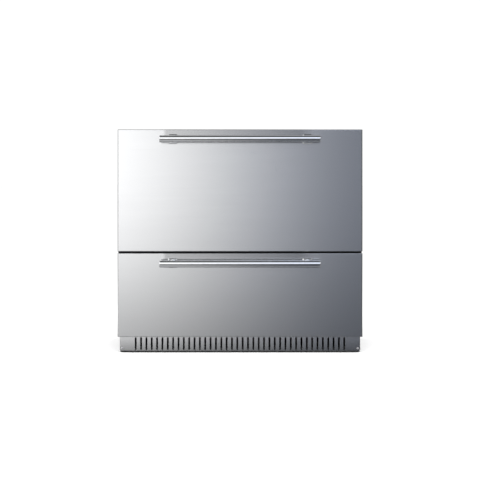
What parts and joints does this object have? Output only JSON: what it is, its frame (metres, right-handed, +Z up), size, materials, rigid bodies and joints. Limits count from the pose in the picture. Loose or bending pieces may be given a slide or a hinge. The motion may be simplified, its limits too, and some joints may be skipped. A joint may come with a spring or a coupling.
{
  "type": "undercounter drawer refrigerator",
  "caption": "Undercounter refrigerator with stacked stainless steel drawers, bar handles and a slotted kick plate, on telescopic slides.",
  "frame": {"origin": "on the floor plane, under the middle of the bounding box", "axes": "+X along the width, to the right of a person facing the drawers; +Y from the drawer fronts to the back; +Z up"},
  "size_m": [0.9, 0.6748, 0.823],
  "materials": {
    "stainless_front": "fine horizontal brushing",
    "handle_steel": "satin polished",
    "screw_steel": "bright",
    "slide_steel": "bright zinc plating",
    "drawer_box_steel": "satin",
    "foamed_core": "smooth white moulded panel over rigid foam",
    "black_rubber": "soft satin",
    "black_cabinet": "fine-textured powder coat",
    "galvanised_steel": "spangled zinc",
    "insulation_foam": "closed-cell rigid foam",
    "liner_plastic": "smooth white",
    "coil_aluminium": "mill finish",
    "copper_line": "drawn copper",
    "compressor_enamel": "black enamel",
    "light_lens": "frosted",
    "button_plastic": "satin",
    "black_plastic": "satin moulded"
  },
  "bodies": {
    "cabinet": {"side_panel_left": "black_cabinet", "side_panel_right": "black_cabinet", "top_panel": "black_cabinet", "back_panel": "galvanised_steel", "bottom_panel": "galvanised_steel", "insulation": "insulation_foam", "inner_liner": "liner_plastic", "mullion": "black_cabinet", "base_pan": "black_cabinet", "kick_plate": "stainless_front", "kick_screw_left": "screw_steel", "kick_screw_right": "screw_steel", "upper_slide_outer_left": "slide_steel", "upper_slide_outer_right": "slide_steel", "lower_slide_outer_left": "slide_steel", "lower_slide_outer_right": "slide_steel", "rear_cover": "galvanised_steel", "cord_gland": "black_rubber", "compressor": "compressor_enamel", "drain_pan": "black_plastic", "condenser_coil": "coil_aluminium", "condenser_fan_frame": "black_plastic", "discharge_line": "copper_line", "filter_drier": "copper_line", "evaporator_cover": "liner_plastic", "evaporator_coil": "coil_aluminium", "evaporator_fan_frame": "black_plastic", "led_bar_upper": "light_lens", "led_bar_lower": "light_lens", "control_bezel": "black_plastic"},
    "upper_drawer": {"upper_front_skin": "stainless_front", "upper_front_core": "foamed_core", "upper_gasket": "black_rubber", "upper_handle_bar": "handle_steel", "upper_handle_post_left": "handle_steel", "upper_handle_post_right": "handle_steel", "upper_drawer_box": "drawer_box_steel", "upper_slide_inner_left": "slide_steel", "upper_slide_inner_right": "slide_steel"},
    "upper_middle_rail_left": {"upper_slide_middle_left": "slide_steel"},
    "upper_middle_rail_right": {"upper_slide_middle_right": "slide_steel"},
    "lower_drawer": {"lower_front_skin": "stainless_front", "lower_front_core": "foamed_core", "lower_gasket": "black_rubber", "lower_handle_bar": "handle_steel", "lower_handle_post_left": "handle_steel", "lower_handle_post_right": "handle_steel", "lower_drawer_box": "drawer_box_steel", "lower_slide_inner_left": "slide_steel", "lower_slide_inner_right": "slide_steel"},
    "lower_middle_rail_left": {"lower_slide_middle_left": "slide_steel"},
    "lower_middle_rail_right": {"lower_slide_middle_right": "slide_steel"},
    "leveling_foot_front_left": {"leveling_foot_front_left": "galvanised_steel"},
    "leveling_foot_front_right": {"leveling_foot_front_right": "galvanised_steel"},
    "leveling_foot_rear_left": {"leveling_foot_rear_left": "galvanised_steel"},
    "leveling_foot_rear_right": {"leveling_foot_rear_right": "galvanised_steel"},
    "condenser_fan_rotor": {"condenser_fan_rotor": "black_plastic"},
    "evaporator_fan_rotor": {"evaporator_fan_rotor": "black_plastic"},
    "colder_button": {"colder_button": "button_plastic"},
    "warmer_button": {"warmer_button": "button_plastic"}
  },
  "joints": [
    {"name": "upper_drawer_slide", "type": "slide", "parent": "cabinet", "child": "upper_drawer", "axis": [0, -1, 0], "range_m": [0, 0.4]},
    {"name": "upper_middle_rail_left_slide", "type": "slide", "parent": "cabinet", "child": "upper_middle_rail_left", "axis": [0, -1, 0], "range_m": [0, 0.2]},
    {"name": "upper_middle_rail_right_slide", "type": "slide", "parent": "cabinet", "child": "upper_middle_rail_right", "axis": [0, -1, 0], "range_m": [0, 0.2]},
    {"name": "lower_drawer_slide", "type": "slide", "parent": "cabinet", "child": "lower_drawer", "axis": [0, -1, 0], "range_m": [0, 0.29]},
    {"name": "lower_middle_rail_left_slide", "type": "slide", "parent": "cabinet", "child": "lower_middle_rail_left", "axis": [0, -1, 0], "range_m": [0, 0.145]},
    {"name": "lower_middle_rail_right_slide", "type": "slide", "parent": "cabinet", "child": "lower_middle_rail_right", "axis": [0, -1, 0], "range_m": [0, 0.145]},
    {"name": "leveling_foot_front_left_screw", "type": "slide", "parent": "cabinet", "child": "leveling_foot_front_left", "axis": [0, 0, -1], "range_m": [0, 0.015]},
    {"name": "leveling_foot_front_right_screw", "type": "slide", "parent": "cabinet", "child": "leveling_foot_front_right", "axis": [0, 0, -1], "range_m": [0, 0.015]},
    {"name": "leveling_foot_rear_left_screw", "type": "slide", "parent": "cabinet", "child": "leveling_foot_rear_left", "axis": [0, 0, -1], "range_m": [0, 0.015]},
    {"name": "leveling_foot_rear_right_screw", "type": "slide", "parent": "cabinet", "child": "leveling_foot_rear_right", "axis": [0, 0, -1], "range_m": [0, 0.015]},
    {"name": "condenser_fan_spin", "type": "hinge", "parent": "cabinet", "child": "condenser_fan_rotor", "pos_m": [0.02, 0.23355, 0.1123], "axis": [1, 0, 0], "continuous": true},
    {"name": "evaporator_fan_spin", "type": "hinge", "parent": "cabinet", "child": "evaporator_fan_rotor", "pos_m": [0, 0.2434, 0.689], "axis": [0, -1, 0], "continuous": true},
    {"name": "colder_button_press", "type": "slide", "parent": "cabinet", "child": "colder_button", "axis": [0, 0.6306, 0.7761], "range_m": [0, 0.0012], "stiffness_N_per_m": 900},
    {"name": "warmer_button_press", "type": "slide", "parent": "cabinet", "child": "warmer_button", "axis": [0, 0.6306, 0.7761], "range_m": [0, 0.0012], "stiffness_N_per_m": 900}
  ],
  "couplings": [
    {"joint": "upper_middle_rail_left_slide", "follows": "upper_drawer_slide", "ratio": 0.5},
    {"joint": "upper_middle_rail_right_slide", "follows": "upper_drawer_slide", "ratio": 0.5},
    {"joint": "lower_middle_rail_left_slide", "follows": "lower_drawer_slide", "ratio": 0.5},
    {"joint": "lower_middle_rail_right_slide", "follows": "lower_drawer_slide", "ratio": 0.5}
  ]
}
